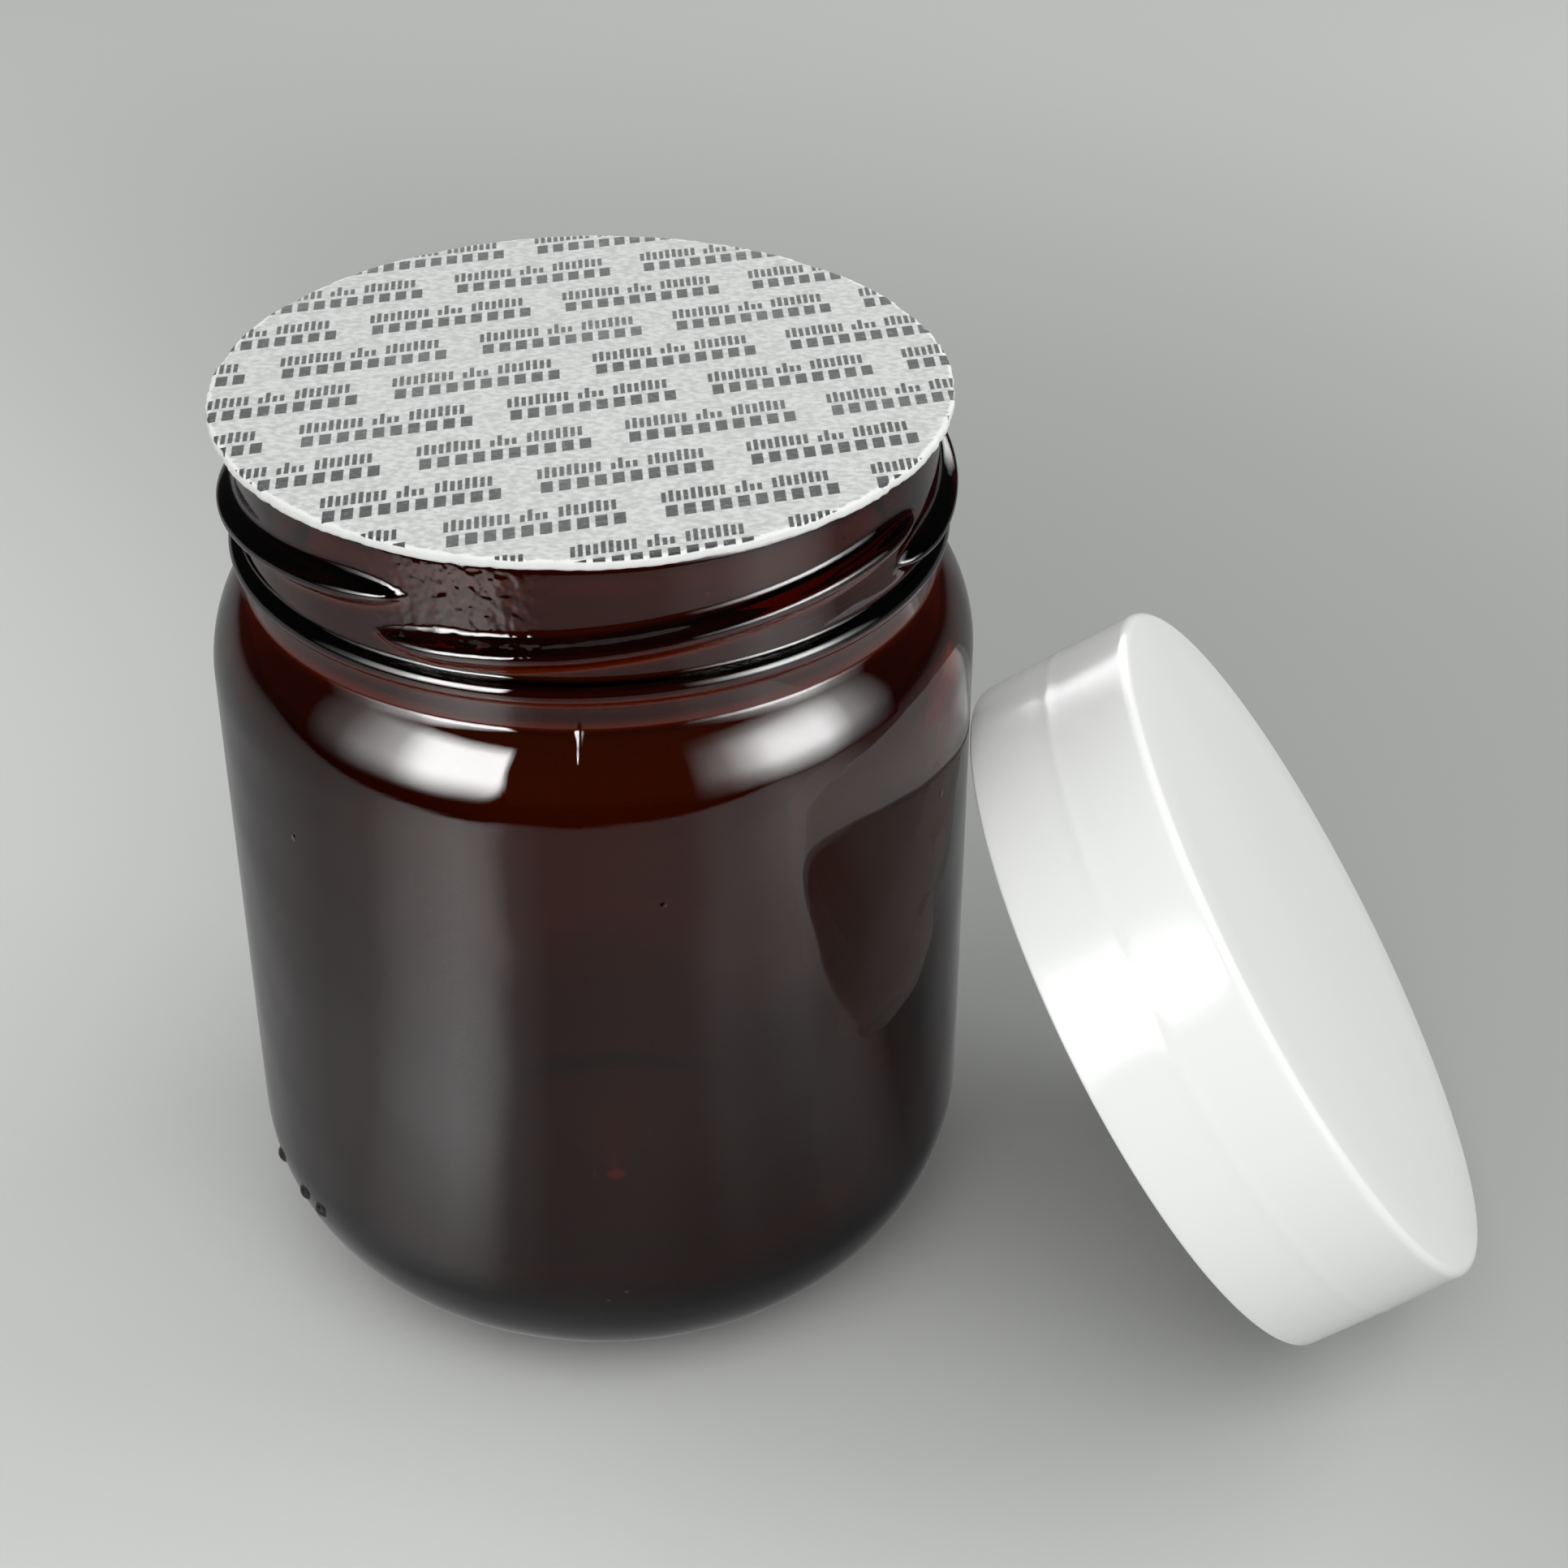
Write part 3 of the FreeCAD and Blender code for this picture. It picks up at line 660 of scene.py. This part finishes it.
def floor_paper():
    """Matt pale paper with painted shade, darker to one side where the light falls off."""
    made, shader, _, n = material("floor_paper")
    place = n.place()
    spot = n.parts(place)
    # painted shade: darker to the right and the back and most near the jar, with a faint random cloud of tone added
    slanted = n.math("MULTIPLY_ADD", spot["Y"], SHADE_BACK, spot["X"])
    away = n.add("VectorMath", {"operation": "LENGTH"}, Vector=place).outputs["Value"]
    darker = n.math("MULTIPLY", n.spread(slanted, *SHADE_SPAN, 0.0, DEEPEST_SHADE),
                    n.spread(away, *SHADE_NEAR_JAR, 1.0, FAR_SHARE))
    cloud = n.math("MULTIPLY_ADD", n.noise(place, FLOOR_CLOUDS, 2.0), CLOUD_SHARE, darker)
    n.feed(shader, Base_Color=n.blend(cloud, FLOOR_PALE, FLOOR_SHADED), Roughness=0.6, Specular_IOR_Level=0.0)
    return made


# ---- stage: directions are an azimuth from the front, towards +X, and an elevation, in degrees ----

FLOOR_HALF = 1.5
# lights stand at this distance from a point on the jar's axis at this height
LIGHT_AWAY, LIGHT_AIM = 0.7, 0.07

# soft lights: azimuth, elevation, width, height and radiance
FILLS = {"fill_left": (-44, 22, 0.48, 0.47, 0.6), "fill_top_left": (-70, 50, 0.5, 0.5, 0.5),
         "fill_right": (56, 17, 0.70, 0.26, 0.5), "fill_side": (100, 40, 0.5, 0.4, 2.2),
         "fill_front": (5, 48, 0.7, 0.6, 1.95)}

# softboxes in gloss: pairs of an azimuth and a share of the strength, the same for elevations, and the strength
SOFTBOXES = {
    "softbox_left": (
        ((-90, 0.0), (-78, 0.05), (-72, 0.12), (-66, 0.22), (-60, 0.34), (-52, 0.88), (-47, 1.0), (-28, 1.0),
         (-26, 0.0)),
        ((-6, 0.0), (0, 0.28), (6, 0.72), (11, 1.0), (30, 1.0), (34, 0.5), (38, 0.0)), 22),
    "softbox_right": (
        ((24, 0.0), (34, 0.15), (42, 0.5), (50, 0.93), (56, 1.0), (66, 0.95), (76, 0.25), (84, 0.1), (92, 0.0)),
        ((-6, 0.0), (2, 0.4), (9, 0.95), (13, 1.0), (20, 0.97), (27, 0.7), (34, 0.2), (40, 0.0)), 18),
    "softbox_back": (
        ((140, 0.0), (150, 1.0), (195, 1.0), (205, 0.0)), ((6, 0.0), (12, 1.0), (38, 1.0), (44, 0.0)), 8),
}
# one softbox has a rounded lower corner at the end of its azimuths: degrees across and up, and where it fades
ROUNDED, ROUNDED_FADE = {"softbox_left": (11, 20)}, (0.75, 1.0)

# painted reflection of the floor in gloss, on a glowing sheet, brighter where it paints the softboxes' reflection:
# level by azimuth beyond the first reach of NEAR_JAR; nearer than that it has one level
SHEEN = ((-180, 0.25), (-100, 0.38), (-80, 0.42), (-64, 0.60), (-51, 1.35), (-38, 2.00), (-31, 1.70),
         (-24, 0.60), (-15, 0.34), (20, 0.42), (29, 0.68), (38, 0.75), (51, 1.30), (64, 1.05), (72, 0.60),
         (78, 0.25), (100, 0.25), (180, 0.25))
NEAR_JAR, NEAR_LEVEL = (0.042, 0.075), 0.30
# the cap shades a round patch of it: X and Y, reach of the shade, and level in the middle
CAP_SHADE_AT, CAP_SHADE_REACH, CAP_SHADE_LEVEL = (0.062, -0.025), (0.025, 0.07), 0.35
# it ends at a slanting front edge, and fades with its reach to a share of its level
FRONT_SLANT, FRONT_EDGE = 0.42, (0.245, 0.275)
FADES, FADED_SHARE = (0.3, 1.2), 0.2
# painted shade of the floor seen through glass, on a glowing sheet, dark near the jar: level by reach, and how much
# darker it is than straight behind the jar
THROUGH_GLASS = ((0.044, 0.12), (0.075, 0.14), (0.105, 0.09), (0.125, 0.14), (0.145, 0.30), (0.2, 0.45))
BEHIND, ASIDE_LEVEL = (140, 170), 0.35

# an even pale room: what each kind of ray sees of it, and how little gloss sees
ROOM_COLOUR = (0.98, 1.0, 0.99, 1)
ROOM = {"Is Camera Ray": 0.42, "Is Diffuse Ray": 0.475, "Is Transmission Ray": 0.42}
ROOM_IN_GLOSS = 0.02

CAMERA_AT, CAMERA_LENS, CAMERA_SENSOR = (0, -0.231386, 0.202495), 65.706, 36.0
CAMERA_YAW, CAMERA_PITCH, CAMERA_ROLL = -4.362, -33.521, -0.166


def levels(value, stops):
    """The level at a value, between stops that hold pairs of a value and a level."""
    return np.interp(value, *zip(*stops))


def direction(azimuth, elevation):
    """Unit vector."""
    a, e = math.radians(azimuth), math.radians(elevation)
    return Vector((math.sin(a) * math.cos(e), -math.cos(a) * math.cos(e), math.sin(e)))


def light_place(azimuth, elevation):
    return direction(azimuth, elevation) * LIGHT_AWAY + Vector((0, 0, LIGHT_AIM))


def staged(name, mesh, finish):
    """Adds a thing of the stage, which isn't a piece of the part."""
    mesh.materials.append(finish)
    thing = bpy.data.objects.new(name, mesh)
    bpy.context.scene.collection.objects.link(thing)
    return thing


def make_floor():
    corners = [(x * FLOOR_HALF, y * FLOOR_HALF, 0) for x, y in ((-1, -1), (1, -1), (1, 1), (-1, 1))]
    mesh = bpy.data.meshes.new("floor")
    mesh.from_pydata(corners, [], [(0, 1, 2, 3)])
    floor = staged("floor", mesh, floor_paper())
    floor.visible_glossy = floor.visible_transmission = False


def glowing():
    """Gives out the strength that its mesh carries in the attribute glow."""
    made = bpy.data.materials.new("glowing")
    made.use_nodes = True
    made.cycles.emission_sampling = "NONE"
    made.node_tree.nodes.clear()
    n = Nodes(made.node_tree)
    carried = n.add("Attribute", {"attribute_name": "glow"})
    glow = n.add("Emission", Strength=carried.outputs["Fac"])
    n.add("OutputMaterial", Surface=glow.outputs[0])
    return made


def sheet(name, finish, across, along, place, strength, through_glass=False):
    """A glowing sheet that shows only in gloss, or only through glass. It has a place and a strength at each
    pair of values from across and along."""
    verts = [place(a, b) for b in along for a in across]
    n = len(across)
    faces = [(i * n + k, i * n + k + 1, (i + 1) * n + k + 1, (i + 1) * n + k)
             for i in range(len(along) - 1) for k in range(n - 1)]
    mesh = bpy.data.meshes.new(name)
    mesh.from_pydata(verts, [], faces)
    glow = mesh.attributes.new("glow", "FLOAT", "POINT")
    glow.data.foreach_set("value", [float(strength(a, b)) for b in along for a in across])
    made = staged(name, mesh, finish)
    made.visible_camera = made.visible_diffuse = made.visible_shadow = False
    made.visible_glossy = not through_glass
    made.visible_transmission = through_glass


def softbox(name, finish, azimuths, elevations, strength):
    """Soft light seen in gloss, strongest in the middle."""
    rounded = ROUNDED.get(name)

    def level(azimuth, elevation):
        share = levels(azimuth, azimuths) * levels(elevation, elevations)
        if rounded:
            into = (max(azimuth - azimuths[-1][0] + rounded[0], 0) / rounded[0],
                    max(elevations[0][0] + rounded[1] - elevation, 0) / rounded[1])
            share *= np.interp(math.hypot(*into), ROUNDED_FADE, (1, 0))
        return strength * share

    across, along = (np.linspace(stops[0][0], stops[-1][0], 49) for stops in (azimuths, elevations))
    sheet(name, finish, across, along, light_place, level)


def floor_sheen(finish):
    """Glowing sheets in place of the floor: as gloss shows it, a painted reflection that is brighter where it throws
    back the softboxes, with the cap's painted shade; and as glass shows it, with painted shade near the jar.
    """
    def place(azimuth, reach):
        return direction(azimuth, 0) * reach + Vector((0, 0, -MM))

    # painted reflection of the floor, with the cap's painted shade
    def in_gloss(azimuth, reach):
        spot = place(azimuth, reach)
        beyond = np.interp(reach, NEAR_JAR, (0, 1))
        level = NEAR_LEVEL * (1 - beyond) + levels(azimuth, SHEEN) * beyond
        from_cap = math.hypot(spot.x - CAP_SHADE_AT[0], spot.y - CAP_SHADE_AT[1])
        level *= np.interp(from_cap, CAP_SHADE_REACH, (CAP_SHADE_LEVEL, 1))
        front = np.interp(-spot.y - FRONT_SLANT * spot.x, FRONT_EDGE, (1, 0))
        return level * front * np.interp(reach, FADES, (1, FADED_SHARE))

    # painted shade of the floor behind and beside the jar, as glass shows it
    def in_glass(azimuth, reach):
        return np.interp(abs(azimuth), BEHIND, (ASIDE_LEVEL, 1)) * levels(reach, THROUGH_GLASS)

    rings = np.arange(-180, 181, 3), np.geomspace(0.001, 1.5, 60)
    sheet("floor_sheen", finish, *rings, place, in_gloss)
    sheet("floor_through_glass", finish, *rings, place, in_glass, through_glass=True)


def fill(name, azimuth, elevation, wide, high, radiance):
    """A soft light that only lights: gloss shows a softbox in its place."""
    data = bpy.data.lights.new(name, "AREA")
    data.shape = "RECTANGLE"
    data.size, data.size_y = wide, high
    data.energy = radiance * math.pi * wide * high
    lamp = bpy.data.objects.new(name, data)
    faces_jar = direction(azimuth, elevation).to_track_quat("Z", "Y").to_matrix().to_4x4()
    lamp.matrix_world = Matrix.Translation(light_place(azimuth, elevation)) @ faces_jar
    lamp.visible_camera = lamp.visible_glossy = lamp.visible_transmission = False
    bpy.context.scene.collection.objects.link(lamp)


def make_lights():
    for name, given in FILLS.items():
        fill(name, *given)
    finish = glowing()
    for name, given in SOFTBOXES.items():
        softbox(name, finish, *given)
    floor_sheen(finish)


def make_surroundings():
    """The room, which gloss sees dark: softboxes and the floor's sheen take its place there."""
    world = bpy.data.worlds.new("studio")
    world.use_nodes = True
    n = Nodes(world.node_tree)
    path = n.add("LightPath")
    strength = ROOM_IN_GLOSS
    for ray, level in ROOM.items():
        strength = n.math("MULTIPLY_ADD", path.outputs[ray], level, strength)
    n.feed(world.node_tree.nodes["Background"], Color=ROOM_COLOUR, Strength=strength)
    bpy.context.scene.world = world
    bpy.context.scene.view_settings.view_transform = "Standard"


def make_camera():
    data = bpy.data.cameras.new("camera")
    data.sensor_width = CAMERA_SENSOR
    data.lens = CAMERA_LENS
    data.clip_start = 0.01
    camera = bpy.data.objects.new("camera", data)
    turn = Matrix.Identity(4)
    for angle, axis in ((CAMERA_YAW, "Z"), (CAMERA_PITCH, "X"), (CAMERA_ROLL, "Y"), (90, "X")):
        turn = turn @ Matrix.Rotation(math.radians(angle), 4, axis)
    camera.matrix_world = Matrix.Translation(CAMERA_AT) @ turn
    bpy.context.scene.collection.objects.link(camera)
    bpy.context.scene.camera = camera


def dress(piece, finish, node):
    """Gives a piece its material, hides the CAD node that it stands in for, and hangs the piece under the root body.
    """
    piece.data.materials.append(finish)
    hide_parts(node)
    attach(piece, "root")


def main():
    shared = {made.name: made for made in (moulded_skin(), handling(), specks(), print_marks())}
    dress(make_jar(), amber_glass(shared), "jar")
    dress(make_seal(), seal_foam(shared), "seal_liner")
    dress(make_cap(), cap_plastic(shared), "lid")
    make_floor()
    make_lights()
    make_surroundings()
    make_camera()


main()
